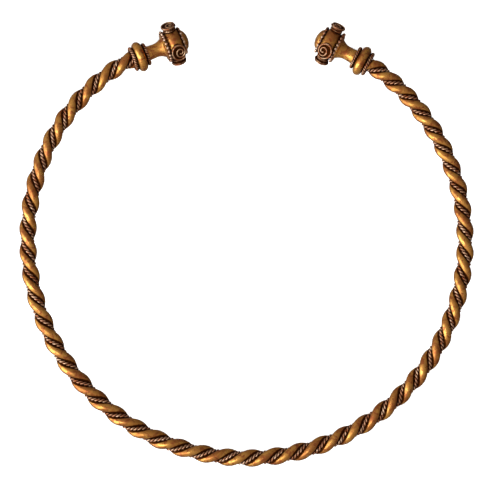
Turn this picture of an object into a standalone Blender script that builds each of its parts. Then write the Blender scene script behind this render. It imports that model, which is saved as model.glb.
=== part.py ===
"""Gold torc: two thick strands twisted together, a fine rope in each groove, and a scrolled terminal at each end.

Metres, +Z up. The hoop is drawn flat with its gap towards +Y, and the finished torc is then laid on its own
lowest points: one boss under each terminal and the far side of the hoop.
"""

import math
from dataclasses import dataclass

import bmesh
import bpy
import numpy as np
from mathutils import Matrix, Vector

MM = 0.001
UP = Vector((0.0, 0.0, 1.0))

# Hoop, measured to the middle of the twist
HOOP_RADIUS = 72.34 * MM
LEFT_SHOULDER_RADIUS = 64.3 * MM
RIGHT_SHOULDER_RADIUS = 70.45 * MM
THROAT_LENGTH = 4.0 * MM

# Twist: left-handed, with a lead that shortens towards both ends, where the twist was finished by hand
STRAND_DIAMETER = 2.93 * MM
FINE_ROPE_DIAMETER = 1.25 * MM
LEAD = 15.8 * MM
LEAD_LOSS_AT_ENDS = 0.115
LEAD_SKEW = 0.059
STRAND_ANGLE_AT_MIDDLE = math.radians(127.6)
STATIONS_PER_LEAD = 6
STRAND_SIDES = 6
FINE_ROPE_SIDES = 4

# Small clearances that stand for solder and for metal pressed against metal
SOLDER_GAP = 0.15 * MM
STRAND_GAP = 0.25 * MM
ROPE_END_GAP = 0.3 * MM

# Terminal, turned about its own axis; the collar's back face is where the rope ends
TURNED_SIDES = 16
MOUTH_WIRE = 1.1 * MM
COLLAR_WIDTH = 3.1 * MM
COLLAR_RADIUS = 5.1 * MM
COLLAR_EDGE_RADIUS = 3.4 * MM
NECK_WIRE = 1.15 * MM
NECK_LENGTH = 7.0 * MM
NECK_END_RADIUS = 2.6 * MM
NECK_WAIST_RADIUS = 2.3 * MM
NECK_WAIST_AT = 0.6
NECK_FLARE_RADIUS = 3.5 * MM
BACK_BEAD = 1.05 * MM
BACK_BEAD_COUNT = 22
BEAD_SEAT_RADIUS = 4.2 * MM
DRUM_LENGTH = 4.45 * MM
DRUM_RADIUS = 5.5 * MM
DRUM_EDGE_RADIUS = 5.1 * MM
FRONT_BEAD = 1.0 * MM
FRONT_BEAD_COUNT = 18
DOME_RADIUS = 3.6 * MM
DOME_WALL = 0.6 * MM
DOME_HEIGHT = 2.1 * MM
BEAD_WAIST = 0.5

# Scroll bosses, four to a terminal: a plate on a short stub, with a wire coiled on it. Each is drawn round and is
# then made slightly oval, longer round the drum than along it
BOSS_STRETCH = (0.95, 1.1)
STUB_RADIUS = 2.0 * MM
STUB_HEIGHT = 0.65 * MM
PLATE_RADIUS = 2.7 * MM
PLATE_THICKNESS = 0.55 * MM
BOSS_SIDES = 10
COIL_WIRE = 0.5 * MM
COIL_TURNS = 2.3
COIL_RIM_TURNS = 0.7
COIL_INNER_RADIUS = 0.42 * MM
COIL_EYE_SHIFT = 0.5 * MM
COIL_OUTER_ANGLE = math.radians(45.0)
COIL_SUNK = 0.58
COIL_BENDS = (0.0, COIL_RIM_TURNS, 1.0, 1.3, COIL_TURNS)
COIL_STATIONS_PER_TURN = 6

ARC_STEP = math.radians(1.0)


@dataclass(frozen=True)
class End:
    """One half of the hoop and its terminal.

    Angles are in degrees. Sweeps are turned through on the way, and bosses stand at angles from straight up towards
    the outside of the hoop.
    """

    name: str
    side: int
    hoop_sweep: float
    shoulder_radius: float
    shoulder_sweep: float
    throat_sweep: float
    nod: float
    boss_angles: tuple


LEFT = End("left", -1, 110.48, LEFT_SHOULDER_RADIUS, 37.4, 11.0, 7.0, (-32.0, 65.0, 155.0, -115.0))
RIGHT = End("right", 1, 54.32, RIGHT_SHOULDER_RADIUS, 88.73, 9.1, 3.5, (-27.0, 72.0, 160.0, -114.0))

GOLD = {"colour": (0.60, 0.36, 0.10), "roughness": 0.32}
WORN_GOLD = {"colour": (0.66, 0.42, 0.14), "roughness": 0.28}
RED_GOLD = {"colour": (0.50, 0.27, 0.12), "roughness": 0.38}


def material(name, colour, roughness):
    """A plain metal finish."""
    made = bpy.data.materials.new(name)
    made.use_nodes = True
    shader = made.node_tree.nodes["Principled BSDF"]
    shader.inputs["Base Color"].default_value = (*colour, 1.0)
    shader.inputs["Roughness"].default_value = roughness
    shader.inputs["Metallic"].default_value = 1.0
    return made


def new_object(name, mesh, finish, collection, parent):
    """An object in its collection, under the parent that lays the torc down, with a finish of its own."""
    made = bpy.data.objects.new(name, mesh)
    collection.objects.link(made)
    made.parent = parent
    if not mesh.materials:
        mesh.materials.append(None)
    made.material_slots[0].link = "OBJECT"
    made.material_slots[0].material = material(name, **finish)
    return made


def mesh_of(bm, name):
    """The finished mesh, with its faces pointing out."""
    bmesh.ops.recalc_face_normals(bm, faces=bm.faces)
    mesh = bpy.data.meshes.new(name)
    bm.to_mesh(mesh)
    bm.free()
    return mesh


def sweep(name, stations, sides):
    """A rod drawn through stations: matrices with Z along the rod, scaled by its radius there."""
    bm = bmesh.new()
    first = bmesh.ops.create_circle(bm, cap_ends=True, segments=sides, radius=1.0)["verts"]
    bmesh.ops.transform(bm, matrix=stations[0], verts=first)
    edges = list({edge for vert in first for edge in vert.link_edges})
    for before, after in zip(stations, stations[1:]):
        grown = bmesh.ops.extrude_edge_only(bm, edges=edges)["geom"]
        verts = [item for item in grown if isinstance(item, bmesh.types.BMVert)]
        edges = [item for item in grown if isinstance(item, bmesh.types.BMEdge)]
        bmesh.ops.transform(bm, matrix=after @ before.inverted(), verts=verts)
    bmesh.ops.contextual_create(bm, geom=edges)
    sides_faces = [face for face in bm.faces if len(face.verts) == 4]
    bmesh.ops.triangulate(bm, faces=sides_faces, quad_method="LONG_EDGE")
    return mesh_of(bm, name)


def frame(place, axis, outward):
    """A matrix at a place, with Z along the axis and Y as near to outward as it can be."""
    along = axis.normalized()
    across = (outward - outward.dot(along) * along).normalized()
    matrix = Matrix((across.cross(along), across, along)).transposed().to_4x4()
    matrix.translation = place
    return matrix


def half_line(end):
    """Places and directions along the middle of the rope, from the middle of the hoop to one mouth."""
    place = Vector((0.0, -HOOP_RADIUS, 0.0))
    heading = 0.0
    line = [(0.0, place.copy(), Vector((end.side, 0.0, 0.0)))]
    length = 0.0
    throat_radius = THROAT_LENGTH / math.radians(end.throat_sweep)
    bends = (
        (HOOP_RADIUS, end.hoop_sweep, 0.0),
        (end.shoulder_radius, end.shoulder_sweep, 0.0),
        (throat_radius, end.throat_sweep, end.nod),
    )
    for radius, sweep_degrees, nod in bends:
        steps = max(1, round(math.radians(sweep_degrees) / ARC_STEP))
        turn = math.radians(sweep_degrees) / steps
        for step in range(steps):
            drop = math.radians(nod) * (step + 0.5) / steps
            chord = 2.0 * radius * math.sin(turn / 2.0)
            place = place + chord * direction(end.side, heading + turn / 2.0, drop)
            heading += turn
            length += chord
            line.append((length, place, direction(end.side, heading, math.radians(nod) * (step + 1) / steps)))
    return line


def direction(side, heading, drop):
    """The way that the rope runs at a heading, mirrored on the left, and turned down by the drop."""
    level = math.cos(drop)
    return Vector((side * math.cos(heading) * level, math.sin(heading) * level, -math.sin(drop)))


def mouth_frame(end):
    """The terminal's frame: Z along it to the tip, X up, and its origin where the rope enters."""
    _, place, axis = half_line(end)[-1]
    return frame(place, axis, axis.cross(UP))


def rope_line():
    """Length, place and direction along the whole rope, from the left collar to the right one."""
    ends = {}
    for end in (LEFT, RIGHT):
        line = half_line(end)
        length, place, axis = line[-1]
        tail = collar_back() - ROPE_END_GAP
        line.append((length + tail, place + tail * axis, axis))
        ends[end.name] = line
    left = [(-length, place, -axis) for length, place, axis in reversed(ends["left"][1:])]
    return left + ends["right"]


def collar_back():
    """How far inside the mouth the collar's back face is: the mouth wire stands before it."""
    return MOUTH_WIRE + 2.0 * SOLDER_GAP


def twist_stations():
    """Frames along the rope at equal steps of twist, with each one's angle and its local lead."""
    line = rope_line()
    lengths = np.array([item[0] for item in line])
    places = np.array([item[1] for item in line])
    axes = np.array([item[2] for item in line])
    fine = np.linspace(lengths[0], lengths[-1], 20 * len(lengths))
    share = fine / (0.5 * (lengths[-1] - lengths[0]))
    lead = LEAD * (1.0 - LEAD_LOSS_AT_ENDS * share**2 - LEAD_SKEW * share)
    turns = np.concatenate(([0.0], np.cumsum(np.diff(fine) * (0.5 / lead[1:] + 0.5 / lead[:-1]))))
    turns -= np.interp(0.0, fine, turns)
    count = round((turns[-1] - turns[0]) * STATIONS_PER_LEAD)
    stations = []
    for turn in np.linspace(turns[0], turns[-1], count + 1):
        length = np.interp(turn, turns, fine)
        place = Vector([np.interp(length, lengths, column) for column in places.T])
        axis = Vector([np.interp(length, lengths, column) for column in axes.T]).normalized()
        angle = STRAND_ANGLE_AT_MIDDLE - 2.0 * math.pi * turn
        stations.append((frame(place, axis, axis.cross(UP)), angle, np.interp(length, fine, lead)))
    return stations


def helix(stations, radius, start, rod_radius, sides):
    """Frames for a rod that winds left-handed about the rope's middle. Its ends are cut square to the rope.

    A flat side or a corner always faces the middle, and each corner leads on to the nearest one of the next station.
    """
    corner = 2.0 * math.pi / sides
    step = corner * round(2.0 * math.pi / STATIONS_PER_LEAD / corner)
    made = []
    for index, (base, angle, lead) in enumerate(stations):
        radial = base.to_3x3() @ Vector((math.cos(angle + start), math.sin(angle + start), 0.0))
        along = base.to_3x3().col[2]
        around = along.cross(radial)
        square = index in (0, len(stations) - 1)
        axis = along if square else along - around * (2.0 * math.pi * radius / lead)
        place = frame(base.translation + radius * radial, axis, radial)
        made.append(place @ Matrix.Rotation(step * index, 4, "Z") @ Matrix.Scale(rod_radius, 4))
    return made


def half_step_cosine():
    """How near the axis the middle of a straight step comes, as a share of the radius at its ends."""
    return math.cos(math.pi / STATIONS_PER_LEAD)


def add_rope(collection, parent):
    """The two thick strands, and the fine rope that lies in each groove between them."""
    stations = twist_stations()
    strand_flat = math.cos(math.pi / STRAND_SIDES)
    outside = STRAND_DIAMETER
    strand_radius = (outside * half_step_cosine() - STRAND_GAP / 2.0) / (strand_flat + strand_flat * half_step_cosine())
    strand_path = outside - strand_flat * strand_radius
    fine_path = STRAND_DIAMETER / 2.0 + FINE_ROPE_DIAMETER / 4.0
    fine_radius = (FINE_ROPE_DIAMETER - SOLDER_GAP) / 2.0
    for letter, start in (("a", 0.0), ("b", math.pi)):
        path = helix(stations, strand_path, start, strand_radius, STRAND_SIDES)
        strand = sweep("thick_strand", path, STRAND_SIDES)
        new_object("thick_strand_" + letter, strand, GOLD, collection, parent)
        path = helix(stations, fine_path, start + math.pi / 2.0, fine_radius, FINE_ROPE_SIDES)
        fine = sweep("fine_rope", path, FINE_ROPE_SIDES)
        new_object("fine_rope_" + letter, fine, RED_GOLD, collection, parent)


def ellipse(centre, reach, start, stop, steps):
    """Points (radius, along) of an elliptic arc; angles are in degrees from straight out, towards the tip."""
    points = []
    for step in range(steps + 1):
        angle = math.radians(start + (stop - start) * step / steps)
        points.append((centre[0] + reach[0] * math.cos(angle), centre[1] + reach[1] * math.sin(angle)))
    return points


def neck_points(back):
    """The neck's hollow profile, from the drum's side back to the collar."""
    points = []
    for share in (1.0, 0.8, NECK_WAIST_AT, 0.25, 0.0):
        if share >= NECK_WAIST_AT:
            rise = (share - NECK_WAIST_AT) / (1.0 - NECK_WAIST_AT)
            radius = NECK_WAIST_RADIUS + (NECK_FLARE_RADIUS - NECK_WAIST_RADIUS) * rise**2
        else:
            rise = 1.0 - share / NECK_WAIST_AT
            radius = NECK_WAIST_RADIUS + (NECK_END_RADIUS - NECK_WAIST_RADIUS) * rise**2
        points.append((radius, back + share * NECK_LENGTH))
    return points


@dataclass(frozen=True)
class Layout:
    """Places along a terminal's axis, each worked out from the one before it."""

    collar_front: float
    neck_wire: float
    back_beads: float
    drum_back: float
    drum_front: float
    front_beads: float


def layout():
    """Where each part of a terminal starts, counted from the mouth."""
    collar_front = collar_back() + COLLAR_WIDTH
    drum_back = collar_front + NECK_LENGTH + BACK_BEAD + 2.0 * SOLDER_GAP
    drum_front = drum_back + DRUM_LENGTH
    return Layout(
        collar_front=collar_front,
        neck_wire=collar_front + SOLDER_GAP + NECK_WIRE / 2.0,
        back_beads=drum_back - SOLDER_GAP - BACK_BEAD / 2.0,
        drum_back=drum_back,
        drum_front=drum_front,
        front_beads=drum_front + SOLDER_GAP + FRONT_BEAD / 2.0,
    )


def body_profile(places):
    """The outline of collar, neck, drum and dome, from the tip back to the rope's end."""
    dome_base = places.drum_front + DOME_WALL
    dome = ellipse((0.0, dome_base), (DOME_RADIUS, DOME_HEIGHT), 90.0, 0.0, 3)
    drum_middle = (places.drum_back + places.drum_front) / 2.0
    belly = DRUM_RADIUS - DRUM_EDGE_RADIUS
    drum = ellipse((DRUM_EDGE_RADIUS, drum_middle), (belly, DRUM_LENGTH / 2.0), 90.0, -90.0, 4)
    collar_middle = (collar_back() + places.collar_front) / 2.0
    crown = COLLAR_RADIUS - COLLAR_EDGE_RADIUS
    collar = ellipse((COLLAR_EDGE_RADIUS, collar_middle), (crown, COLLAR_WIDTH / 2.0), 90.0, -90.0, 4)
    return [
        *dome,
        (DOME_RADIUS, places.drum_front),
        *drum,
        (BEAD_SEAT_RADIUS, places.drum_back),
        (BEAD_SEAT_RADIUS, places.collar_front + NECK_LENGTH),
        *neck_points(places.collar_front),
        *collar,
        (0.0, collar_back()),
    ]


def turned(name, profile, sides, finish, collection, parent):
    """A solid turned about Z from an outline that runs from its top down to its foot."""
    mesh = bpy.data.meshes.new(name)
    points = [(max(radius, 0.0), 0.0, along) for radius, along in profile]
    mesh.from_pydata(points, [(index, index + 1) for index in range(len(points) - 1)], [])
    made = new_object(name, mesh, finish, collection, parent)
    spun = made.modifiers.new("turned", "SCREW")
    spun.axis = "Z"
    spun.steps = sides
    spun.render_steps = sides
    spun.use_merge_vertices = True
    spun.merge_threshold = 1e-6
    return made


def ring(name, middle_radius, wire, around, finish, collection, parent, waist=1.0):
    """A closed ring of wire about Z. With a waist under 1 every other section is pinched, which makes beads."""
    bpy.ops.mesh.primitive_torus_add(
        major_radius=middle_radius, minor_radius=wire / 2.0, major_segments=around, minor_segments=4
    )
    source = bpy.context.object
    mesh = source.data
    bpy.data.objects.remove(source)
    step = 2.0 * math.pi / around
    for vert in mesh.vertices:
        angle = math.atan2(vert.co.y, vert.co.x)
        if waist < 1.0 and round(angle / step) % 2:
            middle = Vector((middle_radius * math.cos(angle), middle_radius * math.sin(angle), 0.0))
            vert.co = middle + waist * (vert.co - middle)
    return new_object(name, mesh, finish, collection, parent)


def coil_place(turns, side, height):
    """A place on the scroll's wire: it follows the rim, leaves it and winds in to an eye nearer to the tip."""
    outer = PLATE_RADIUS - COIL_WIRE / 2.0
    radius = np.interp(turns, COIL_BENDS, [outer, outer, 0.735 * outer, 0.55 * outer, COIL_INNER_RADIUS])
    shift = COIL_EYE_SHIFT * np.interp(turns, (1.0, 1.5), (0.0, 1.0))
    angle = side * (COIL_OUTER_ANGLE + 2.0 * math.pi * turns)
    return Vector((shift + radius * math.cos(angle), radius * math.sin(angle), height))


def coil_mesh(side, top):
    """The scroll: a wire coiled flat from the plate's rim to its eye, wound the other way on the left."""
    count = round(COIL_TURNS * COIL_STATIONS_PER_TURN)
    height = top + COIL_WIRE * (0.5 - COIL_SUNK)
    places = [coil_place(COIL_TURNS * step / count, side, height) for step in range(count + 1)]
    stations = []
    for index, place in enumerate(places):
        before = places[max(index - 1, 0)]
        after = places[min(index + 1, count)]
        stations.append(frame(place, after - before, UP) @ Matrix.Scale(COIL_WIRE / 2.0, 4))
    return sweep("coil", stations, 4)


def add_bosses(end, base, places, groups, parent):
    """Four scroll bosses round the drum, each named for the way it faces."""
    seat = DRUM_RADIUS + SOLDER_GAP / 2.0
    plate = seat + STUB_HEIGHT
    top = plate + PLATE_THICKNESS
    profile = [
        (0.0, top),
        (PLATE_RADIUS, top),
        (PLATE_RADIUS, plate),
        (STUB_RADIUS, plate),
        (STUB_RADIUS, seat),
        (0.0, seat),
    ]
    coil = coil_mesh(end.side, top)
    middle = Matrix.Translation((0.0, 0.0, (places.drum_back + places.drum_front) / 2.0))
    radial = Matrix(((0, 0, 1, 0), (0, 1, 0, 0), (-1, 0, 0, 0), (0, 0, 0, 1))) @ Matrix.Rotation(math.pi, 4, "Z")
    oval = Matrix.Diagonal((*BOSS_STRETCH, 1.0, 1.0))
    for facing, degrees in zip(("upper", "outer", "lower", "inner"), end.boss_angles):
        place = base @ middle @ Matrix.Rotation(end.side * math.radians(degrees), 4, "Z") @ radial @ oval
        name = f"{end.name}_boss_{facing}"
        boss = turned(name, profile, BOSS_SIDES, WORN_GOLD, groups["pieces"], parent)
        boss.matrix_local = place
        wire = bpy.data.objects.new(name + "_coil", coil)
        groups["helpers"].objects.link(wire)
        wire.parent = parent
        wire.matrix_local = place
        wire.hide_render = True
        wire.display_type = "WIRE"
        joined = boss.modifiers.new("coil", "BOOLEAN")
        joined.operation = "UNION"
        joined.object = wire


def add_terminal(end, groups, parent):
    """One terminal: its turned body, its wires and beads, and its bosses."""
    places = layout()
    pieces = groups["pieces"]
    base = mouth_frame(end)
    facet = math.pi / TURNED_SIDES + end.side * math.radians(end.boss_angles[0])
    aligned = base @ Matrix.Rotation(facet, 4, "Z")
    body = turned(end.name + "_terminal", body_profile(places), TURNED_SIDES, WORN_GOLD, pieces, parent)
    body.matrix_local = aligned
    rings = (
        ("mouth_wire", STRAND_DIAMETER + SOLDER_GAP, MOUTH_WIRE, collar_back() / 2.0, TURNED_SIDES, 1.0),
        ("neck_wire", NECK_END_RADIUS + SOLDER_GAP, NECK_WIRE, places.neck_wire, TURNED_SIDES, 1.0),
        ("back_beads", BEAD_SEAT_RADIUS + SOLDER_GAP, BACK_BEAD, places.back_beads, 2 * BACK_BEAD_COUNT, BEAD_WAIST),
        ("front_beads", DOME_RADIUS + SOLDER_GAP, FRONT_BEAD, places.front_beads, 2 * FRONT_BEAD_COUNT, BEAD_WAIST),
    )
    for name, inner_radius, wire, along, around, waist in rings:
        made = ring(
            f"{end.name}_{name}", inner_radius + wire / 2.0, wire, around, RED_GOLD, pieces, parent, waist
        )
        made.matrix_local = aligned @ Matrix.Translation((0.0, 0.0, along))
    add_bosses(end, base, places, groups, parent)


def world_points(objects):
    """Every point of these objects as modelled, in the world."""
    graph = bpy.context.evaluated_depsgraph_get()
    points = []
    for item in objects:
        evaluated = item.evaluated_get(graph)
        mesh = evaluated.to_mesh()
        points += [evaluated.matrix_world @ vert.co for vert in mesh.vertices]
        evaluated.to_mesh_clear()
    return np.array(points)


def lay_down(pieces, parent):
    """Turns the parent so that the torc lies, at z = 0, on the lowest points of both terminals and of the far side."""
    groups = [[item for item in pieces if item.name.startswith(end.name)] for end in (LEFT, RIGHT)]
    groups.append([item for item in pieces if "strand" in item.name])
    parts = [world_points(group) for group in groups]
    whole = np.vstack(parts)
    parts[-1] = parts[-1][parts[-1][:, 1] < 0.0]
    turned_by = Matrix.Identity(3)
    for _ in range(6):
        lowest = [Vector(part[np.argmin(part @ np.array(turned_by.row[2]))]) for part in parts]
        normal = (turned_by @ (lowest[1] - lowest[0])).cross(turned_by @ (lowest[2] - lowest[0]))
        if normal.z < 0.0:
            normal.negate()
        turned_by = normal.rotation_difference(UP).to_matrix() @ turned_by
    lying = whole @ np.array(turned_by).T
    low = lying.min(axis=0)
    high = lying.max(axis=0)
    middle = (low + high) / 2.0
    shift = Matrix.Translation((-middle[0], -middle[1], -low[2]))
    parent.matrix_world = shift @ turned_by.to_4x4()


def main():
    """Clears the scene, models the torc flat and lays it down."""
    for item in list(bpy.data.objects):
        bpy.data.objects.remove(item)
    groups = {}
    for key, name in (("pieces", "gold_torc"), ("helpers", "boss_coils")):
        groups[key] = bpy.data.collections.new(name)
        bpy.context.scene.collection.children.link(groups[key])
    parent = bpy.data.objects.new("torc_lying", None)
    groups["pieces"].objects.link(parent)
    add_rope(groups["pieces"], parent)
    for end in (LEFT, RIGHT):
        add_terminal(end, groups, parent)
    bpy.context.view_layer.update()
    lay_down([item for item in groups["pieces"].objects if item.type == "MESH"], parent)


main()
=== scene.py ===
"""Gold torc: the twisted hoop and its scrolled terminals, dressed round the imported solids.

Lengths are metres and +Z is up. Every piece is drawn on a flat hoop with its gap towards +Y, as the
solids were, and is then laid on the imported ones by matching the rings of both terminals.
"""

import logging
import math
from dataclasses import dataclass, field
from enum import Enum
from typing import Any, Dict, List, Optional, Sequence, Tuple, Union

import bmesh
import bpy
import numpy as np
from mathutils import Matrix, Vector, noise
from mathutils.bvhtree import BVHTree

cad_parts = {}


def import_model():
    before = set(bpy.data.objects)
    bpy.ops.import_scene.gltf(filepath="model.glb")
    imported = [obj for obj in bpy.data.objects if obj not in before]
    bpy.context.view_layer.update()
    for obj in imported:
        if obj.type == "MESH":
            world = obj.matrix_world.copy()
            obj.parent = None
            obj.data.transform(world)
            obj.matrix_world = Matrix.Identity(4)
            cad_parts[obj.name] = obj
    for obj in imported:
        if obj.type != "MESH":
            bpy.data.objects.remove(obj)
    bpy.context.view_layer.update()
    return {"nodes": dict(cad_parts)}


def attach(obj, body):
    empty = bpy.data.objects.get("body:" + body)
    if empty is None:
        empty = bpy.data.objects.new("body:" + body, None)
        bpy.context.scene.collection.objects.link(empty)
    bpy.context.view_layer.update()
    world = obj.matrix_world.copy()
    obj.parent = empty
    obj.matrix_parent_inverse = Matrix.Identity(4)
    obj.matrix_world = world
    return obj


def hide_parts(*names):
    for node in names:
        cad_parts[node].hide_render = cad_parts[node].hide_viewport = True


LOG = logging.getLogger("gold_torc")

MM = 0.001
UP = Vector((0.0, 0.0, 1.0))
SOLDER_GAP = 0.15 * MM

BMesh = bmesh.types.BMesh
Socket = bpy.types.NodeSocket
Pair = Tuple[float, float]
Place = Tuple[float, float, float]
Colour = Tuple[float, float, float]
Number = Union["Value", float]
Shaded = Union[bpy.types.Material, bpy.types.World]


class Slot(Enum):
    """The finish slots that the pieces carry."""

    GOLD = "gold"
    FINE_WIRE = "fine_wire"


class Hand(Enum):
    """Which end of the hoop, seen from above with the gap away from the viewer."""

    LEFT = -1
    RIGHT = 1


@dataclass(frozen=True)
class Layer:
    """Soft noise: the size of its largest forms, its finer layers and how far it is distorted."""

    size: float
    detail: float = 2.0
    twist: float = 0.0


class Value:
    """A number that a node gives, so that sums of numbers are written as plain sums."""

    def __init__(self, graph: "Graph", socket: Socket) -> None:
        """Wraps one output socket of a graph."""
        self.graph = graph
        self.socket = socket

    def _math(self, operation: str, first: Number, second: Number) -> "Value":
        """Adds a Math node.

        Args:
            operation: the Math node's operation.
            first: its first value.
            second: its second value.

        Returns:
            The node's result.
        """
        made = self.graph.node("ShaderNodeMath", {"operation": operation}, {0: first, 1: second})
        return Value(self.graph, made.outputs[0])

    def __add__(self, other: Number) -> "Value":
        """This plus the other."""
        return self._math("ADD", self, other)

    def __radd__(self, other: Number) -> "Value":
        """The other plus this."""
        return self._math("ADD", other, self)

    def __sub__(self, other: Number) -> "Value":
        """This less the other."""
        return self._math("SUBTRACT", self, other)

    def __rsub__(self, other: Number) -> "Value":
        """The other less this."""
        return self._math("SUBTRACT", other, self)

    def __mul__(self, other: Number) -> "Value":
        """This times the other."""
        return self._math("MULTIPLY", self, other)

    def __rmul__(self, other: Number) -> "Value":
        """The other times this."""
        return self._math("MULTIPLY", other, self)

    def smooth(self, low: float, high: float) -> "Value":
        """A soft step.

        Args:
            low: the value at which the step starts, at 0.
            high: the value at which it ends, at 1.

        Returns:
            The step, between 0 and 1.
        """
        inputs = {"Value": self, "From Min": low, "From Max": high}
        made = self.graph.node("ShaderNodeMapRange", {"interpolation_type": "SMOOTHSTEP"}, inputs)
        return Value(self.graph, made.outputs["Result"])


class Graph:
    """The node tree of a finish or of the room."""

    def __init__(self, owner: Shaded, shader: str = "Principled BSDF") -> None:
        """Takes up a new material or world, with the shader that it starts with."""
        owner.use_nodes = True
        self.tree = owner.node_tree
        self.shader = self.tree.nodes[shader]

    def node(
        self,
        kind: str,
        settings: Optional[Dict[str, Any]] = None,
        inputs: Optional[Dict[Union[str, int], Any]] = None,
    ) -> bpy.types.Node:
        """Adds a node.

        Args:
            kind: the node's type.
            settings: its own settings, which are set first, with a ramp's places and shades as stops.
            inputs: a value, or a socket to link, for each of its sockets by name or number.

        Returns:
            The node.
        """
        made = self.tree.nodes.new(kind)
        for key, value in (settings or {}).items():
            if key == "stops":
                self.set_stops(made.color_ramp.elements, value)
            else:
                setattr(made, key, value)
        for key, value in (inputs or {}).items():
            self.feed(made.inputs[key], value)
        return made

    @staticmethod
    def set_stops(elements: Any, stops: Sequence[Tuple[float, Colour]]) -> None:
        """Gives a new ramp its stops, of which the first is at 0 and the last at 1."""
        elements[0].color = opaque(stops[0][1])
        elements[1].color = opaque(stops[-1][1])
        for position, shade in stops[1:-1]:
            elements.new(position).color = opaque(shade)

    def feed(self, socket: Socket, value: Any) -> None:
        """Links a socket to a value of the graph, or sets it to a plain one."""
        if isinstance(value, Value):
            self.tree.links.new(value.socket, socket)
        elif isinstance(value, Socket):
            self.tree.links.new(value, socket)
        else:
            socket.default_value = value

    def shade(self, inputs: Dict[str, Any]) -> None:
        """Feeds the shader's own sockets, by name."""
        for key, value in inputs.items():
            self.feed(self.shader.inputs[key], value)

    def mix(self, factor: Number, first: Any, second: Any) -> Socket:
        """Mixes two colours.

        Args:
            factor: the share of the second colour.
            first: a colour or a socket.
            second: a colour or a socket.

        Returns:
            The socket of the mixed colour.
        """
        settings = {"data_type": "RGBA", "clamp_factor": True}
        made = self.node("ShaderNodeMix", settings, {0: factor, 6: opaque(first), 7: opaque(second)})
        return made.outputs[2]

    def cloud(self, place: Any, layer: Layer) -> Value:
        """Soft noise.

        Args:
            place: the coordinates that it follows.
            layer: its forms.

        Returns:
            The noise, mostly between 0.25 and 0.75.
        """
        forms = {"Scale": 1.0 / layer.size, "Detail": layer.detail, "Distortion": layer.twist}
        made = self.node("ShaderNodeTexNoise", None, {"Vector": place, **forms})
        return Value(self, made.outputs["Fac"])


def opaque(colour: Any) -> Any:
    """A colour with its alpha, or a socket as it is."""
    return (*colour, 1.0) if isinstance(colour, tuple) and len(colour) == 3 else colour


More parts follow.
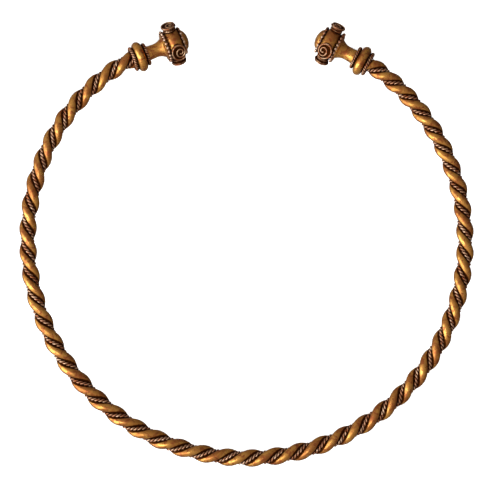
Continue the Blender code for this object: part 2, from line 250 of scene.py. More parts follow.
@dataclass(frozen=True)
class AgedGold:
    """Gold worn bright where hands rub it, brown in clouds, and brown then near black in its hollows and
    grooves: patina together with painted shade.
    """

    name: str
    worn: Colour = (0.82, 0.385, 0.092)
    brown: Colour = (0.54, 0.200, 0.043)
    red: Colour = (0.42, 0.110, 0.036)
    # Near-black brown for patina and painted shade in the hollows and grooves.
    patina_and_shade: Colour = (0.085, 0.0185, 0.0022)
    gloss: float = 0.33
    hollows: Pair = (0.05, 0.26)
    brown_share: float = 0.62
    brown_hollow: float = 0.8
    red_share: float = 0.6
    drawn_lines: float = 0.0
    lines_round: float = 34.0
    ragged: float = 0.3
    clouds: Layer = Layer(4.2 * MM, 3.0, 0.4)
    speckle: Layer = Layer(0.55 * MM)
    patches: Layer = Layer(5.5 * MM, 5.0, 1.4)
    pits: Layer = Layer(1.3 * MM, 2.0, 0.6)
    brown_step: Pair = (0.42, 0.60)
    red_step: Pair = (0.48, 0.58)
    pit_step: Pair = (0.55, 0.61)
    pit_red: float = 0.85
    # How strongly the scroll plates' recess adds patina and painted shade.
    recess_depth: float = 0.5
    # How strongly the strands' flanks add patina and painted shade.
    flank_depth: float = 0.3
    grime_dullness: float = 0.34
    relief: float = 0.08 * MM
    relief_strength: float = 0.35

    def build(self) -> bpy.types.Material:
        """Makes the material."""
        material = bpy.data.materials.new(self.name)
        graph = Graph(material)
        coordinates = graph.node("ShaderNodeTexCoord")
        place = coordinates.outputs["Object"]
        chart = coordinates.outputs["UV"]
        attribute = graph.node("ShaderNodeAttribute", {"attribute_name": Hollows.attribute})
        hollow = Value(graph, attribute.outputs["Fac"])
        clouds = graph.cloud(place, self.clouds)
        speckle = graph.cloud(place, self.speckle)
        patches = graph.cloud(place, self.patches)
        pits = graph.cloud(place, self.pits)
        # The scroll plates' marked recess is darkened as painted shade under and between the coil, besides
        # patina.
        recess = graph.node("ShaderNodeAttribute", {"attribute_name": Scroll.attribute})
        depth = hollow + Value(graph, recess.outputs["Fac"]) * self.recess_depth
        # The strands' flanks in the grooves are darkened: patina and painted shade.
        if self.drawn_lines:
            depth = depth + self.flank(graph, chart) * self.flank_depth
        depth = depth + (speckle - 0.5) * self.ragged + (clouds - 0.5) * self.ragged
        # Patina and painted shade: near black where the vertex occlusion, the scroll plates' recess and
        # the strands' flanks run deepest.
        patina_and_shade = depth.smooth(*self.hollows)
        # Brown also grows with the hollow's occlusion: painted shade as well as tarnish; the clouds' brown
        # is the metal's own.
        browned = clouds.smooth(*self.brown_step) * self.brown_share + hollow * self.brown_hollow
        colour = graph.mix(browned, self.worn, self.brown)
        colour = graph.mix(patches.smooth(*self.red_step) * self.red_share, colour, self.red)
        colour = graph.mix(pits.smooth(*self.pit_step) * self.pit_red, colour, self.red)
        colour = graph.mix(patina_and_shade, colour, self.patina_and_shade)
        rough = self.gloss + clouds.smooth(0.4, 0.6) * 0.12 + speckle.smooth(0.5, 0.62) * 0.08
        rough = rough + patina_and_shade * self.grime_dullness
        height = speckle * 0.5 + clouds - pits.smooth(0.56, 0.64) * 0.6
        if self.drawn_lines:
            height = height + self.lines(graph, chart) * self.drawn_lines
        inputs = {"Strength": self.relief_strength, "Distance": self.relief, "Height": height}
        bump = graph.node("ShaderNodeBump", None, inputs).outputs["Normal"]
        graph.shade({"Base Color": colour, "Metallic": 1.0, "Roughness": rough, "Normal": bump})
        return material

    @staticmethod
    def flank(graph: Graph, chart: Socket) -> Value:
        """Where a strand turns down into the grooves on both sides of it, darkened there as patina and
        painted shade.

        Args:
            graph: the material's nodes.
            chart: the piece's UV map, whose second value is 0.25 on the outside.

        Returns:
            1 in the grooves and 0 on the strand's back.
        """
        parted = graph.node("ShaderNodeSeparateXYZ", None, {0: chart})
        round_it = Value(graph, parted.outputs["Y"])
        away = graph.node("ShaderNodeMath", {"operation": "PINGPONG"}, {0: round_it + 0.75, 1: 0.5})
        return Value(graph, away.outputs[0]).smooth(0.17, 0.215)

    def lines(self, graph: Graph, chart: Socket) -> Value:
        """The faint lines that drawing leaves along a rod, which follow its own length and girth.

        Args:
            graph: the material's nodes.
            chart: the piece's UV map.

        Returns:
            The lines' height.
        """
        inputs = {"Vector": chart, "Scale": (1.0, self.lines_round, 1.0)}
        stretched = graph.node("ShaderNodeMapping", None, inputs)
        return graph.cloud(stretched.outputs[0], Layer(1.0))


class Finish(Enum):
    """The finishes of the torc's metal."""

    STRAND = AgedGold("drawn_gold", gloss=0.27, drawn_lines=0.6)
    BODY = AgedGold("turned_gold", gloss=0.27, brown_share=0.45, brown_hollow=0.3, hollows=(0.14, 0.40))
    PLIED = AgedGold("fine_wire_gold", (0.84, 0.52, 0.34), (0.52, 0.24, 0.12), hollows=(0.10, 0.36))
    # The twisted ring wires are a darker copy of the fine wire gold: painted shade.
    RING = AgedGold("ring_wire_gold", (0.72, 0.42, 0.26), (0.38, 0.155, 0.068), hollows=(0.05, 0.22))
    # Very pale bead colour with a narrow hollow range: the bright tops are a painted highlight, the dark
    # sides painted shade and patina.
    BEADS = AgedGold("beaded_wire_gold", (0.98, 0.66, 0.48), (0.70, 0.36, 0.20), hollows=(0.02, 0.13))
    SCROLL = AgedGold("scroll_gold", (0.78, 0.46, 0.27), (0.50, 0.24, 0.11), hollows=(0.06, 0.26))


def unit(rows: np.ndarray) -> np.ndarray:
    """Each row at length 1."""
    return rows / np.linalg.norm(rows, axis=1, keepdims=True)


def ripple(along: np.ndarray, size: float, seed: int) -> np.ndarray:
    """The slow unevenness of hand work.

    Args:
        along: places along a rod.
        size: the length of its shortest waves.
        seed: which unevenness.

    Returns:
        A value for each place, mostly between -1 and 1.
    """
    draw = np.random.default_rng(seed)
    total = np.zeros(len(along))
    for wave in range(5):
        length = size * (1.0 + 1.7 * wave)
        total += np.sin(math.tau * (along / length + draw.random())) * draw.uniform(0.5, 1.0)
    return total / 2.5


@dataclass
class Course:
    """A line through space with a right-handed frame at each station: across, outward and along."""

    places: np.ndarray
    across: np.ndarray
    outward: np.ndarray
    along: np.ndarray
    closed: bool = False

    @classmethod
    def through(cls, places: np.ndarray, outward: np.ndarray, closed: bool = False) -> "Course":
        """Frames a line that has only places.

        Args:
            places: the stations.
            outward: the way that each station's frame turns its second axis, as nearly as it can.
            closed: whether the last station is the first again.

        Returns:
            The framed line.
        """
        if closed:
            steps = np.roll(places[:-1], -1, axis=0) - np.roll(places[:-1], 1, axis=0)
            steps = np.vstack((steps, steps[:1]))
        else:
            steps = np.gradient(places, axis=0)
        along = unit(steps)
        outward = unit(outward - np.sum(outward * along, axis=1, keepdims=True) * along)
        return cls(places, np.cross(outward, along), outward, along, closed)

    def lengths(self) -> np.ndarray:
        """The distance along the line to each station."""
        steps = np.linalg.norm(np.diff(self.places, axis=0), axis=1)
        return np.concatenate(([0.0], np.cumsum(steps)))

    def wound(self, angles: np.ndarray, radius: Union[float, np.ndarray]) -> "Course":
        """A line that winds round this one.

        Args:
            angles: its angle at each station, from across towards outward.
            radius: its distance from this line.

        Returns:
            The winding line, whose frames face away from this one.
        """
        radial = self.across * np.cos(angles)[:, None] + self.outward * np.sin(angles)[:, None]
        reach = np.broadcast_to(radius, len(self.places))[:, None]
        return Course.through(self.places + reach * radial, radial, self.closed)

    def rod(self, radii: np.ndarray, sides: int) -> BMesh:
        """A round rod along the line: a grid rolled up and closed at its seam and ends.

        Args:
            radii: its radius at each station.
            sides: the faces round it.

        Returns:
            The rod, with a UV map that runs along it in its own widths and once round it.
        """
        rows = len(self.places)
        turns = np.linspace(0.0, math.tau, sides + 1)[None, :, None]
        ring = np.cos(turns) * self.across[:, None] + np.sin(turns) * self.outward[:, None]
        surface = self.places[:, None] + radii[:, None, None] * ring
        lengths = self.lengths() / (2.0 * float(np.mean(radii)))
        bm = bmesh.new()
        chart = bm.loops.layers.uv.new("along_and_round")
        bmesh.ops.create_grid(bm, x_segments=sides, y_segments=rows - 1, size=0.5)
        for face in bm.faces:
            for loop in face.loops:
                row = round((loop.vert.co.y + 0.5) * (rows - 1))
                loop[chart].uv = (lengths[row], loop.vert.co.x + 0.5)
        for vert in bm.verts:
            row = round((vert.co.y + 0.5) * (rows - 1))
            column = round((vert.co.x + 0.5) * sides)
            vert.co = surface[row, column]
        bmesh.ops.remove_doubles(bm, verts=bm.verts, dist=1e-8)
        if not self.closed:
            bmesh.ops.holes_fill(bm, edges=[edge for edge in bm.edges if edge.is_boundary], sides=0)
        return bm


def rounded_ends(lengths: np.ndarray, radius: float) -> np.ndarray:
    """The share of a wire's radius at each place, so that both its ends are round."""
    room = np.minimum(lengths, lengths[-1] - lengths) / radius
    return np.sqrt(np.clip(1.0 - np.clip(1.0 - room, 0.0, 0.93) ** 2, 0.0, 1.0))


def as_mesh(bm: BMesh, name: str) -> bpy.types.Mesh:
    """A mesh of this shape, which is used up."""
    mesh = bpy.data.meshes.new(name)
    bm.to_mesh(mesh)
    bm.free()
    return mesh


def linked(name: str, data: bpy.types.ID) -> bpy.types.Object:
    """A new object of this data, put into the scene."""
    obj = bpy.data.objects.new(name, data)
    bpy.context.scene.collection.objects.link(obj)
    return obj


def joined(parts: Sequence[BMesh]) -> BMesh:
    """Puts several meshes into the first of them.

    Args:
        parts: the meshes; all but the first are used up.

    Returns:
        The first, holding them all.
    """
    whole = parts[0]
    for part in parts[1:]:
        spare = as_mesh(part, "spare")
        whole.from_mesh(spare)
        bpy.data.meshes.remove(spare)
    return whole


@dataclass
class Piece:
    """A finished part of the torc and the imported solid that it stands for."""

    name: str
    node: str
    shape: BMesh
    finish: Finish
    slot: Slot


@dataclass(frozen=True)
class HoopEnd:
    """One half of the hoop.

    Angles are in degrees. Each sweep is what its bend turns through, and the bosses stand at angles from
    straight up towards the outside of the hoop.
    """

    hand: Hand
    hoop_sweep: float
    shoulder_radius: float
    shoulder_sweep: float
    throat_sweep: float
    nod: float
    boss_angles: Tuple[float, float, float, float]

    @property
    def side(self) -> int:
        """-1 on the left and 1 on the right."""
        return self.hand.value

    @property
    def name(self) -> str:
        """The word that the pieces' names start with."""
        return self.hand.name.lower()


@dataclass
class Hoop:
    """The middle line of the twist, drawn flat with its gap towards +Y."""

    radius: float = 72.34 * MM
    throat: float = 4.0 * MM
    step: float = math.radians(1.0)
    ends: Tuple[HoopEnd, HoopEnd] = (
        HoopEnd(Hand.LEFT, 110.48, 64.3 * MM, 37.4, 11.0, 7.0, (-32.0, 65.0, 155.0, -115.0)),
        HoopEnd(Hand.RIGHT, 54.32, 70.45 * MM, 88.73, 9.1, 3.5, (-27.0, 72.0, 160.0, -114.0)),
    )

    @staticmethod
    def way(side: int, heading: float, drop: float) -> Vector:
        """The way that the line runs at a heading, mirrored on the left and turned down by the drop."""
        level = math.cos(drop)
        return Vector((side * math.cos(heading) * level, math.sin(heading) * level, -math.sin(drop)))

    def half(self, end: HoopEnd) -> List[Tuple[float, Vector, Vector]]:
        """One half of the line.

        Args:
            end: the half.

        Returns:
            Length, place and direction at each step from the middle of the hoop to the mouth.
        """
        place = Vector((0.0, -self.radius, 0.0))
        heading = 0.0
        length = 0.0
        line = [(0.0, place.copy(), Vector((end.side, 0.0, 0.0)))]
        bends = (
            (self.radius, end.hoop_sweep, 0.0),
            (end.shoulder_radius, end.shoulder_sweep, 0.0),
            (self.throat / math.radians(end.throat_sweep), end.throat_sweep, math.radians(end.nod)),
        )
        for radius, sweep, nod in bends:
            steps = max(1, round(math.radians(sweep) / self.step))
            turn = math.radians(sweep) / steps
            for step in range(steps):
                chord = 2.0 * radius * math.sin(turn / 2.0)
                midway = self.way(end.side, heading + turn / 2.0, nod * (step + 0.5) / steps)
                place = place + chord * midway
                heading += turn
                length += chord
                line.append((length, place, self.way(end.side, heading, nod * (step + 1) / steps)))
        return line

    def mouth(self, end: HoopEnd) -> Matrix:
        """The terminal's frame: Z along it to its tip, X up, and the origin where the twist enters."""
        _, place, axis = self.half(end)[-1]
        across = axis.cross(UP).normalized()
        matrix = Matrix((across.cross(axis), across, axis)).transposed().to_4x4()
        matrix.translation = place
        return matrix

    def line(self, tail: float) -> Tuple[np.ndarray, np.ndarray, np.ndarray]:
        """The whole line, from the left terminal to the right one.

        Args:
            tail: how far it runs on past each mouth.

        Returns:
            Lengths, places and directions.
        """
        halves = []
        for end in self.ends:
            line = self.half(end)
            length, place, axis = line[-1]
            line.append((length + tail, place + tail * axis, axis))
            halves.append(line)
        left = [(-length, place, -axis) for length, place, axis in reversed(halves[0][1:])]
        rows = left + halves[1]
        lengths, places, ways = (np.array(column) for column in zip(*rows))
        return lengths, places, unit(ways)


@dataclass
class Twist:
    """The hoop's twist: two thick strands and a fine two-ply rope in each groove, all left-handed."""

    hoop: Hoop
    collar_back: float
    strand_diameter: float = 2.93 * MM
    lead: float = 15.8 * MM
    lead_loss: float = 0.115
    lead_skew: float = 0.059
    start: float = math.radians(127.6)
    drawn_end: float = 0.3 * MM
    reach_in: float = 0.35 * MM
    rope_path: float = 1.68 * MM
    ply_diameter: float = 0.62 * MM
    ply_lead: float = 2.94 * MM
    strand_stations: int = 40
    strand_sides: int = 22
    ply_stations: int = 16
    ply_sides: int = 10

    def course(self, count_per_lead: float) -> Tuple[Course, np.ndarray]:
        """Stations along the middle line at equal steps of twist.

        Args:
            count_per_lead: the stations in one turn of the twist.

        Returns:
            The middle line, and the first strand's angle at each station.
        """
        drawn_tail = self.collar_back - self.drawn_end
        lengths, places, axes = self.hoop.line(self.collar_back + self.reach_in)
        half = 0.5 * (lengths[-1] - lengths[0]) - (self.collar_back + self.reach_in - drawn_tail)
        fine = np.linspace(lengths[0], lengths[-1], 20 * len(lengths))
        share = fine / half
        lead = self.lead * (1.0 - self.lead_loss * share**2 - self.lead_skew * share)
        turns = np.concatenate(([0.0], np.cumsum(np.diff(fine) * (0.5 / lead[1:] + 0.5 / lead[:-1]))))
        turns -= np.interp(0.0, fine, turns)
        steps = np.linspace(turns[0], turns[-1], round((turns[-1] - turns[0]) * count_per_lead) + 1)
        at = np.interp(steps, turns, fine)
        place = np.column_stack([np.interp(at, lengths, column) for column in places.T])
        axis = unit(np.column_stack([np.interp(at, lengths, column) for column in axes.T]))
        outward = unit(np.cross(axis, np.array(UP)))
        middle = Course(place, np.cross(outward, axis), outward, axis)
        return middle, self.start - math.tau * steps

    def strand(self, turned: float, seed: int) -> BMesh:
        """One thick strand.

        Args:
            turned: its angle ahead of the first strand.
            seed: which hand-made unevenness it has.

        Returns:
            The strand.
        """
        middle, angles = self.course(self.strand_stations)
        along = middle.lengths()
        angles = angles + turned + math.radians(1.6) * ripple(along, 23.0 * MM, seed)
        radius = self.strand_diameter / 2.0
        path = middle.wound(angles, radius)
        return path.rod(radius * (1.0 + 0.012 * ripple(along, 6.0 * MM, seed + 1)), self.strand_sides)

    def fine_rope(self, turned: float, seed: int) -> BMesh:
        """A fine rope of two wires twisted together.

        Args:
            turned: its angle ahead of the first strand.
            seed: which hand-made unevenness it has.

        Returns:
            Both wires.
        """
        turns_per_lead = math.hypot(self.lead, math.tau * self.rope_path) / self.ply_lead
        middle, angles = self.course(turns_per_lead * self.ply_stations)
        along = middle.lengths()
        angles = angles + turned + math.radians(1.2) * ripple(along, 19.0 * MM, seed)
        path = middle.wound(angles, self.rope_path + 0.03 * MM * ripple(along, 9.0 * MM, seed + 1))
        length = path.lengths()
        radius = self.ply_diameter / 2.0
        wires = []
        for start in (0.0, math.pi):
            ply = path.wound(start - math.tau * length / self.ply_lead, radius)
            radii = radius * (1.0 + 0.02 * ripple(length, 3.0 * MM, seed + 2))
            wires.append(ply.rod(radii, self.ply_sides))
        return joined(wires)

    def pieces(self) -> List[Piece]:
        """Builds the strands and the fine ropes."""
        made = []
        for index, (letter, turned) in enumerate((("a", 0.0), ("b", math.pi))):
            strand = self.strand(turned, 10 + index)
            node = f"thick_strand_{letter}"
            made.append(Piece(f"strand_{letter}", node, strand, Finish.STRAND, Slot.GOLD))
            rope = self.fine_rope(turned + math.pi / 2.0, 20 + index)
            node = f"fine_rope_{letter}"
            made.append(Piece(f"plied_rope_{letter}", node, rope, Finish.PLIED, Slot.FINE_WIRE))
        return made


@dataclass
class Profile:
    """An outline of radius and height that is spun into a round body."""

    points: List[Pair] = field(default_factory=list)

    def to(self, *points: Pair) -> "Profile":
        """Runs the outline straight on to these points."""
        self.points += points
        return self

    def arc(self, centre: Pair, reach: Pair, start: float, stop: float, steps: int) -> "Profile":
        """Runs the outline round part of an ellipse.

        Args:
            centre: radius and height of its middle.
            reach: its half width and half height.
            start: the angle that it starts at, in degrees from straight out towards the tip.
            stop: the angle that it ends at.
            steps: its steps.

        Returns:
            The outline.
        """
        for step in range(steps + 1):
            angle = math.radians(start + (stop - start) * step / steps)
            radius = centre[0] + reach[0] * math.cos(angle)
            self.points.append((radius, centre[1] + reach[1] * math.sin(angle)))
        return self

    def spun(self, sides: int) -> BMesh:
        """Turns the outline about Z.

        Args:
            sides: the faces round it.

        Returns:
            The closed round body.
        """
        bm = bmesh.new()
        verts = [bm.verts.new((max(radius, 0.0), 0.0, height)) for radius, height in self.points]
        edges = [bm.edges.new(pair) for pair in zip(verts, verts[1:])]
        bmesh.ops.spin(
            bm, geom=verts + edges, axis=UP, cent=Vector(), angle=math.tau, steps=sides, use_merge=True
        )
        bmesh.ops.remove_doubles(bm, verts=bm.verts, dist=1e-7)
        return bm


@dataclass
class Scroll:
    """A boss: a plate on a short stub, with a wire coiled flat on it."""

    # Marks the plate's dish, which the finish darkens as painted shade and patina under and between the
    # coil.
    attribute = "recess"
    seat: float
    stub_radius: float = 2.0 * MM
    stub_height: float = 0.65 * MM
    plate_radius: float = 2.58 * MM
    plate_thickness: float = 0.55 * MM
    stretch: Pair = (0.95, 1.1)
    wire: float = 0.5 * MM
    wire_sunk: float = 0.04 * MM
    bends: Tuple[float, ...] = (0.0, 0.7, 1.0, 1.3, 2.3)
    radii: Tuple[float, ...] = (2.45, 2.45, 1.8, 1.35, 0.42)
    eye_shift: float = 0.5 * MM
    eye_bends: Pair = (1.0, 1.5)
    eased: float = 0.12
    outer_angle: float = math.radians(45.0)
    dish: float = 0.26 * MM
    rooted: float = 0.5 * MM
    root_flare: float = 0.2 * MM
    throat: float = 0.15 * MM
    rim_recess: float = 0.2
    sides: int = 48
    wire_sides: int = 10
    stations_per_turn: int = 44

    def build(self, side: int) -> BMesh:
        """Makes the boss with Z away from the drum.

        Args:
            side: -1 or 1, which way the wire winds.

        Returns:
            The plate, its stub and the wire.
        """
        plate = self.seat + self.stub_height
        top = plate + self.plate_thickness
        floor = top - self.dish
        edge = (floor - plate) / 2.0
        stub = self.stub_radius
        root = stub + self.root_flare
        foot = self.seat - self.rooted
        outline = Profile().to(*((step * 0.19 * MM, floor) for step in range(12)))
        outline.arc((self.plate_radius - edge, plate + edge), (edge, edge), 90.0, -90.0, 8)
        outline.to((stub + 0.12 * MM, plate))
        outline.arc((stub + self.throat, plate - self.throat), (self.throat, self.throat), 90.0, 180.0, 4)
        outline.to((stub, self.seat + 0.1 * MM), (root, self.seat - 0.15 * MM), (root, foot), (0.0, foot))
        plate_shape = outline.spun(self.sides)
        # The dish takes the full recess and the rest of the plate a little: painted shade and patina
        # there.
        recess = plate_shape.verts.layers.float.new(self.attribute)
        for vert in plate_shape.verts:
            within = vert.co.xy.length < self.plate_radius - edge / 2.0
            vert[recess] = 1.0 if within and vert.co.z > floor - 1e-6 else self.rim_recess
        boss = joined([plate_shape, self.coil(side, top - self.wire_sunk)])
        bmesh.ops.scale(boss, vec=(*self.stretch, 1.0), verts=boss.verts)
        return boss

    def coil(self, side: int, height: float) -> BMesh:
        """The wire, which follows the rim, leaves it and winds in to an eye nearer to the tip."""
        count = round(self.bends[-1] * self.stations_per_turn)
        turns = np.linspace(0.0, self.bends[-1], count + 1)
        near = [turns + offset for offset in np.linspace(-self.eased, self.eased, 9)]
        radius = MM * np.mean([np.interp(place, self.bends, self.radii) for place in near], axis=0)
        inward = np.mean([np.interp(place, self.eye_bends, (0.0, 1.0)) for place in near], axis=0)
        angle = side * (self.outer_angle + math.tau * turns)
        forward = self.eye_shift * inward + radius * np.cos(angle)
        places = np.column_stack((forward, radius * np.sin(angle), np.full(count + 1, height)))
        course = Course.through(places, np.tile(np.array(UP), (count + 1, 1)))
        thin = self.wire / 2.0
        return course.rod(thin * rounded_ends(course.lengths(), thin), self.wire_sides)


@dataclass
class Terminal:
    """One terminal: collar, hollow-waisted neck, barrel drum and dome, with its rings and scrolls."""

    hoop: Hoop
    end: HoopEnd
    mouth_wire: float = 1.1 * MM
    rope_radius: float = 2.93 * MM
    collar_width: float = 3.1 * MM
    collar_radius: float = 5.1 * MM
    collar_edge: float = 3.4 * MM
    neck_wire: float = 1.15 * MM
    neck_length: float = 7.0 * MM
    neck_end: float = 2.6 * MM
    neck_waist: float = 2.3 * MM
    neck_waist_at: float = 0.6
    neck_flare: float = 3.5 * MM
    back_bead: float = 1.05 * MM
    back_beads: int = 22
    bead_seat: float = 4.2 * MM
    drum_length: float = 4.45 * MM
    drum_radius: float = 5.5 * MM
    drum_edge: float = 4.58 * MM
    front_bead: float = 1.0 * MM
    front_beads: int = 18
    dome_radius: float = 3.6 * MM
    dome_wall: float = 0.6 * MM
    dome_height: float = 2.1 * MM
    drum_rim: float = 0.32 * MM
    dome_fillet: float = 0.2 * MM
    neck_fillet: float = 0.25 * MM
    seat_edge: float = 0.12 * MM
    dent_size: float = 2.4 * MM
    dent_depth: float = 0.035 * MM
    pair_swell: float = 0.1 * MM
    bead_length: float = 0.92
    bead_waist: float = 0.24
    bead_unevenness: float = 0.05
    dome_gap: float = 0.08 * MM
    ply_sides: int = 9
    bead_sides: int = 12
    body_sides: int = 88
    ring_turns: int = 13
    stations_per_turn: int = 14
    facings: Tuple[str, ...] = ("upper", "outer", "lower", "inner")

    def __post_init__(self) -> None:
        """Works out where each part starts along the axis, counted from the mouth."""
        self.collar_back = self.mouth_wire + 2.0 * SOLDER_GAP
        self.collar_front = self.collar_back + self.collar_width
        self.drum_back = self.collar_front + self.neck_length + self.back_bead + 2.0 * SOLDER_GAP
        self.drum_front = self.drum_back + self.drum_length
        self.ring_places: Dict[str, float] = {
            "mouth_wire": self.collar_back / 2.0,
            "neck_wire": self.collar_front + SOLDER_GAP + self.neck_wire / 2.0,
            "back_beads": self.drum_back - SOLDER_GAP - self.back_bead / 2.0,
            "front_beads": self.drum_front + SOLDER_GAP + self.front_bead / 2.0,
        }

    def outline(self) -> Profile:
        """The body's outline, from its tip back to the twist's end."""
        seat = self.bead_seat + self.seat_edge
        middle = (self.drum_back + self.drum_front) / 2.0
        collar_middle = (self.collar_back + self.collar_front) / 2.0
        dome_seat = self.dome_radius + self.dome_gap
        base = self.drum_front + self.dome_wall
        profile = Profile().arc((0.0, base), (self.dome_radius, self.dome_height), 90.0, 4.0, 14)
        foot = self.drum_front + 0.25 * MM
        profile.to((dome_seat, base - 0.1 * MM), (dome_seat, foot))
        fillet = self.dome_fillet
        profile.arc((dome_seat + fillet, foot), (fillet, fillet), 180.0, 270.0, 3)
        rim = self.drum_rim
        profile.arc((self.drum_edge - rim, self.drum_front - rim), (rim, rim), 90.0, 25.0, 4)
        belly = self.drum_radius - self.drum_edge
        reach = self.drum_length / 2.0 - 0.2 * MM
        for share in np.linspace(1.0, -1.0, 17):
            profile.to((self.drum_radius - belly * share**2, middle + reach * share))
        profile.arc((self.drum_edge - rim, self.drum_back + rim), (rim, rim), -25.0, -90.0, 4)
        fillet = self.neck_fillet
        profile.arc((seat + fillet, self.drum_back - fillet), (fillet, fillet), 90.0, 180.0, 3)
        edge = self.seat_edge
        neck_end = self.collar_front + self.neck_length + edge
        profile.to((seat, neck_end))
        profile.arc((seat - edge, neck_end), (edge, edge), 0.0, -90.0, 3)
        for step in range(19):
            share = 1.0 - step / 18.0
            profile.to((self.neck_radius(share), self.collar_front + share * self.neck_length))
        crown = self.collar_radius - self.collar_edge
        profile.arc((self.collar_edge, collar_middle), (crown, self.collar_width / 2.0), 90.0, -90.0, 22)
        return profile.to((0.0, self.collar_back))

    def neck_radius(self, share: float) -> float:
        """The neck's radius, at a share of its length from the collar."""
        waist = self.neck_waist_at
        if share >= waist:
            end, rise = self.neck_flare, (share - waist) / (1.0 - waist)
        else:
            end, rise = self.neck_end, 1.0 - share / waist
        return self.neck_waist + (end - self.neck_waist) * rise**2

    def body(self) -> BMesh:
        """The turned body, with the slight dents of hand finishing."""
        bm = self.outline().spun(self.body_sides)
        bm.normal_update()
        for vert in bm.verts:
            dent = noise.noise(vert.co / self.dent_size + Vector((self.end.side, 0.0, 0.0)))
            vert.co += vert.normal * self.dent_depth * dent
        return bm

    def circle(self, radius: float, count: int) -> Course:
        """A closed ring round the axis, at the mouth."""
        angle = np.linspace(0.0, math.tau, count + 1)
        radial = np.column_stack((np.cos(angle), np.sin(angle), np.zeros(count + 1)))
        return Course.through(radius * radial, radial, closed=True)

    def twisted_ring(self, inner: float, wire: float, seed: int) -> BMesh:
        """A ring of two wires twisted together.

        Args:
            inner: the radius of what it lies on.
            wire: its thickness.
            seed: which hand-made unevenness it has.

        Returns:
            Both wires.
        """
        count = self.ring_turns * self.stations_per_turn
        ring = self.circle(inner + SOLDER_GAP + wire / 2.0, count)
        angle = np.linspace(0.0, math.tau, count + 1)
        uneven = 0.25 * np.sin(angle + seed) + 0.2 * np.sin(3.0 * angle + 2.0 * seed)
        thin = (wire + self.pair_swell) / 4.0
        plies = []
        for start in (0.0, math.pi):
            ply = ring.wound(start - self.ring_turns * angle + uneven, thin)
            plies.append(ply.rod(np.full(count + 1, thin), self.ply_sides))
        return joined(plies)

    def beaded_ring(self, inner: float, bead: float, beads: int, seed: int) -> BMesh:
        """A wire worked into beads all round.

        Args:
            inner: the radius of what it lies on.
            bead: the diameter of a bead.
            beads: how many it has.
            seed: which hand-made unevenness it has.

        Returns:
            The beaded wire.
        """
        per_bead = self.stations_per_turn
        count = beads * per_bead
        step = np.arange(count + 1)
        draw = np.random.default_rng(seed)
        size = 1.0 + self.bead_unevenness * draw.uniform(-1.0, 1.0, beads)
        size = size[(step // per_bead) % beads]
        share = (step % per_bead) / per_bead * 2.0 - 1.0
        radius = inner + SOLDER_GAP + bead / 2.0
        half_pitch = math.pi * radius / beads
        reach = self.bead_length * bead / 2.0
        swell = np.sqrt(np.clip(1.0 - (share * half_pitch / reach) ** 2, 0.0, 1.0))
        radii = bead / 2.0 * np.maximum(swell * size, self.bead_waist)
        radii[-1] = radii[0]
        return self.circle(radius, count).rod(radii, self.bead_sides)

    @staticmethod
    def placed(bm: BMesh, matrix: Matrix) -> BMesh:
        """Moves a mesh to its place."""
        bmesh.ops.transform(bm, matrix=matrix, verts=bm.verts)
        return bm

    def pieces(self) -> List[Piece]:
        """Builds the body, the rings and the bosses."""
        name = self.end.name
        mouth = self.hoop.mouth(self.end)
        body = self.placed(self.body(), mouth)
        made = [Piece(f"{name}_turned_body", f"{name}_terminal", body, Finish.BODY, Slot.GOLD)]
        seed = 3 + self.end.side
        rings = {
            "mouth_wire": self.twisted_ring(self.rope_radius, self.mouth_wire, seed),
            "neck_wire": self.twisted_ring(self.neck_end, self.neck_wire, seed + 1),
            "back_beads": self.beaded_ring(self.bead_seat, self.back_bead, self.back_beads, seed + 2),
            "front_beads": self.beaded_ring(self.dome_radius, self.front_bead, self.front_beads, seed + 3),
        }
        for key, ring in rings.items():
            shape = self.placed(ring, mouth @ Matrix.Translation((0.0, 0.0, self.ring_places[key])))
            finish = Finish.BEADS if "beads" in key else Finish.RING
            made.append(Piece(f"{name}_{key}_ring", f"{name}_{key}", shape, finish, Slot.FINE_WIRE))
        scroll = Scroll(self.drum_radius + SOLDER_GAP / 2.0)
        middle = Matrix.Translation((0.0, 0.0, (self.drum_back + self.drum_front) / 2.0))
        radial = Matrix(((0, 0, 1), (0, 1, 0), (-1, 0, 0))).to_4x4() @ Matrix.Rotation(math.pi, 4, "Z")
        for facing, degrees in zip(self.facings, self.end.boss_angles):
            turned = Matrix.Rotation(self.end.side * math.radians(degrees), 4, "Z")
            place = mouth @ middle @ turned @ radial
            shape = self.placed(scroll.build(self.end.side), place)
            node = f"{name}_boss_{facing}"
            made.append(Piece(f"{name}_scroll_{facing}", node, shape, Finish.SCROLL, Slot.FINE_WIRE))
        return made


class Lying:
    """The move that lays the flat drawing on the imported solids."""

    @staticmethod
    def ring_middle(node: bpy.types.Object) -> np.ndarray:
        """The middle of a packed ring, from its separate corners."""
        points = np.array([vert.co for vert in node.data.vertices])
        return np.unique(np.round(points, 7), axis=0).mean(axis=0)

    @classmethod
    def fitted(cls, terminals: Sequence[Terminal], nodes: Dict[str, bpy.types.Object]) -> Matrix:
        """Matches the rings of both terminals, drawn and packed, as a rigid move.

        Args:
            terminals: the drawn terminals.
            nodes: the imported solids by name.

        Returns:
            The move.
        """
        drawn = []
        packed = []
        for terminal in terminals:
            mouth = terminal.hoop.mouth(terminal.end)
            for key, along in terminal.ring_places.items():
                drawn.append(mouth @ Vector((0.0, 0.0, along)))
                packed.append(cls.ring_middle(nodes[f"{terminal.end.name}_{key}"]))
        drawn_points = np.array(drawn)
        packed_points = np.array(packed)
        drawn_middle = drawn_points.mean(axis=0)
        packed_middle = packed_points.mean(axis=0)
        left, _, right = np.linalg.svd((drawn_points - drawn_middle).T @ (packed_points - packed_middle))
        flip = np.diag((1.0, 1.0, np.sign(np.linalg.det(left @ right))))
        turn = (left @ flip @ right).T
        matrix = Matrix(turn.tolist()).to_4x4()
        matrix.translation = Vector(packed_middle - turn @ drawn_middle)
        miss = np.abs(drawn_points @ turn.T + np.array(matrix.translation) - packed_points).max()
        LOG.info("laid on the packed rings to within %.4f mm", miss / MM)
        return matrix


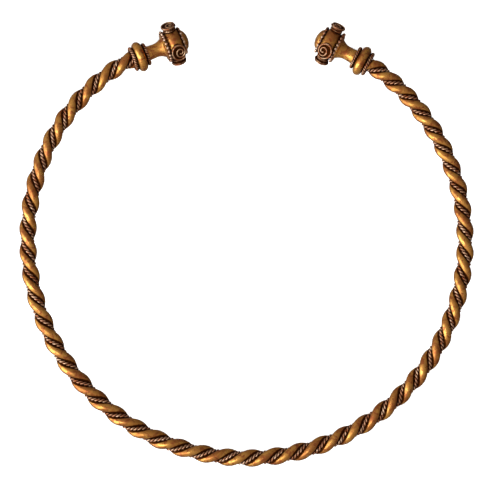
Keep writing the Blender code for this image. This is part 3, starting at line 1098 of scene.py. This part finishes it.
@dataclass
class Hollows:
    """How deep each point of the metal lies in a hollow, an occlusion kept on the meshes for the finishes
    to read as patina and painted shade.
    """

    attribute = "hollow"
    reach: float = 1.5 * MM
    rays: int = 22
    lift: float = 0.01 * MM

    def fan(self) -> np.ndarray:
        """Directions spread over the upper half of a sphere, closer together about its pole."""
        index = np.arange(self.rays) + 0.5
        height = np.sqrt(1.0 - index / self.rays)
        turn = index * math.pi * (3.0 - math.sqrt(5.0))
        level = np.sqrt(1.0 - height**2)
        return np.column_stack((level * np.cos(turn), level * np.sin(turn), height))

    def measure(self, objects: Sequence[bpy.types.Object]) -> None:
        """Looks out from every vertex and notes how much metal stands near before it.

        Args:
            objects: the torc's pieces.
        """
        corners: List[Any] = []
        polygons: List[Any] = []
        for obj in objects:
            first = len(corners)
            corners += [vert.co.to_tuple() for vert in obj.data.vertices]
            polygons += [[first + index for index in face.vertices] for face in obj.data.polygons]
        tree = BVHTree.FromPolygons(corners, polygons)
        fan = self.fan()
        for obj in objects:
            count = len(obj.data.vertices)
            places = np.empty(count * 3)
            normals = np.empty(count * 3)
            obj.data.vertices.foreach_get("co", places)
            obj.data.vertices.foreach_get("normal", normals)
            places = places.reshape(-1, 3)
            normals = unit(normals.reshape(-1, 3) + 1e-9)
            helper = np.where(np.abs(normals[:, 2:]) < 0.9, (0.0, 0.0, 1.0), (1.0, 0.0, 0.0))
            side = unit(np.cross(helper, normals))
            other = np.cross(normals, side)
            starts = places + self.lift * normals
            depth = np.zeros(count)
            ways = (
                fan[None, :, 0, None] * side[:, None]
                + fan[None, :, 1, None] * other[:, None]
                + fan[None, :, 2, None] * normals[:, None]
            )
            for row in range(count):
                start = Vector(starts[row])
                met = 0.0
                for way in ways[row]:
                    distance = tree.ray_cast(start, way, self.reach)[3]
                    if distance is not None:
                        met += 1.0 - distance / self.reach
                depth[row] = met
            values = obj.data.attributes.new(self.attribute, "FLOAT", "POINT")
            values.data.foreach_set("value", (depth / self.rays).astype(np.float32))


class Bench:
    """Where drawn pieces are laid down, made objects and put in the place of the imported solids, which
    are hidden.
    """

    def __init__(self, lying: Matrix) -> None:
        """Keeps the move that lays the drawing down."""
        self.lying = lying
        self.made: List[Tuple[Piece, bpy.types.Object]] = []
        self.finishes: Dict[Finish, bpy.types.Material] = {}

    def add(self, piece: Piece) -> None:
        """Makes an object of a drawn piece, in place."""
        bm = piece.shape
        bmesh.ops.transform(bm, matrix=self.lying, verts=bm.verts)
        bmesh.ops.recalc_face_normals(bm, faces=bm.faces)
        for face in bm.faces:
            face.smooth = True
        mesh = as_mesh(bm, piece.name)
        obj = linked(piece.name, mesh)
        self.made.append((piece, obj))
        LOG.info("%s: %d faces", piece.name, len(mesh.polygons))

    def dress(self) -> None:
        """Gives every piece its hollows and its finish, attaches it to the root body and hides the solid
        that it stands for.
        """
        Hollows().measure([obj for _, obj in self.made])
        for piece, obj in self.made:
            if piece.finish not in self.finishes:
                self.finishes[piece.finish] = piece.finish.value.build()
            obj.data.materials.append(self.finishes[piece.finish])
            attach(obj, "root")
            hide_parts(piece.node)


@dataclass(frozen=True)
class Lamp:
    """A soft light that faces the middle of the torc: its place, width and height, watts and colour."""

    name: str
    place: Place
    size: Pair
    power: float
    tint: Colour
    mirrored: bool = True

    def hang(self) -> None:
        """Puts the light into the scene."""
        data = bpy.data.lights.new(self.name, "AREA")
        data.shape = "RECTANGLE"
        data.size, data.size_y = self.size
        data.energy = self.power
        data.color = self.tint
        obj = linked(self.name, data)
        obj.location = self.place
        obj.rotation_euler = Vector(self.place).to_track_quat("Z", "Y").to_euler()
        obj.visible_glossy = self.mirrored


@dataclass
class Studio:
    """A pale floor, soft light with its strongest from the left, and a camera straight above the hoop."""

    lying: Matrix
    lamps: Tuple[Lamp, ...] = (
        Lamp("key", (-1.05, -0.3, 0.46), (1.2, 0.8), 7.2, (0.74, 0.91, 1.0)),
        Lamp("low fill", (-1.1, -0.45, 0.0), (1.4, 0.4), 3.4, (0.76, 0.92, 1.0)),
        Lamp("window", (-0.58, -0.38, 0.9), (0.45, 0.45), 3.0, (0.80, 0.94, 1.0)),
        Lamp("overhead", (0.15, -0.1, 1.1), (0.5, 0.5), 9.0, (1.0, 0.99, 0.97), mirrored=False),
    )
    frame_width: float = 165.0 * MM
    aim: Pair = (0.97 * MM, -1.38 * MM)
    distance: float = 3.0
    sensor: float = 36.0
    floor_size: float = 6.0
    bright_side: Place = (-0.78, -0.3, 0.55)

    def camera(self) -> None:
        """Stands the camera square over the flat drawing's own plane."""
        data = bpy.data.cameras.new("camera")
        data.sensor_width = self.sensor
        data.lens = self.sensor * self.distance / self.frame_width
        data.clip_end = 20.0
        obj = linked("camera", data)
        obj.matrix_world = self.lying @ Matrix.Translation((*self.aim, self.distance))
        bpy.context.scene.camera = obj

    def floor(self) -> None:
        """Lays a pale matt floor."""
        bm = bmesh.new()
        bmesh.ops.create_grid(bm, x_segments=1, y_segments=1, size=self.floor_size / 2.0)
        mesh = as_mesh(bm, "floor")
        material = bpy.data.materials.new("pale_floor")
        finish = {
            "Base Color": (0.88, 0.88, 0.87, 1.0),
            "Roughness": 0.9,
            "Specular IOR Level": 0.1,
            "Emission Color": (1.0, 1.0, 1.0, 1.0),
            "Emission Strength": 0.6,
        }
        Graph(material).shade(finish)
        mesh.materials.append(material)
        obj = linked("floor", mesh)
        obj.visible_glossy = False

    def world(self) -> None:
        """Fills the room with dim light, brighter overhead and on the side of the main lamp."""
        world = bpy.data.worlds.new("studio")
        bpy.context.scene.world = world
        graph = Graph(world, "Background")
        where = graph.node("ShaderNodeTexCoord").outputs["Generated"]
        inputs = {0: where, 1: Vector(self.bright_side).normalized()}
        toward = graph.node("ShaderNodeVectorMath", {"operation": "DOT_PRODUCT"}, inputs)
        inputs = {"Value": toward.outputs["Value"], "From Min": -1.0}
        move = graph.node("ShaderNodeMapRange", None, inputs)
        stops = [(0.0, (0.10, 0.088, 0.075)), (1.0, (0.82, 0.81, 0.78))]
        between = ((0.2, 0.20), (0.48, 0.335), (0.8, 0.53))
        stops[1:1] = [(position, (grey, grey * 0.97, grey * 0.93)) for position, grey in between]
        ramp = graph.node("ShaderNodeValToRGB", {"stops": stops}, {"Fac": move.outputs["Result"]})
        graph.shade({"Color": ramp.outputs["Color"]})

    def build(self) -> None:
        """Sets up the floor, lights, room and camera."""
        scene = bpy.context.scene
        scene.view_settings.view_transform = "Standard"
        self.floor()
        self.world()
        for lamp in self.lamps:
            lamp.hang()
        self.camera()


def main() -> None:
    """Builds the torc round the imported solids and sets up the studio."""
    logging.basicConfig(level=logging.INFO, format="%(message)s")
    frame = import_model()
    hoop = Hoop()
    terminals = [Terminal(hoop, end) for end in hoop.ends]
    lying = Lying.fitted(terminals, frame["nodes"])
    bench = Bench(lying)
    for piece in Twist(hoop, terminals[0].collar_back).pieces():
        bench.add(piece)
    for terminal in terminals:
        for piece in terminal.pieces():
            bench.add(piece)
    bench.dress()
    Studio(lying).build()


if __name__ == "__main__":
    main()
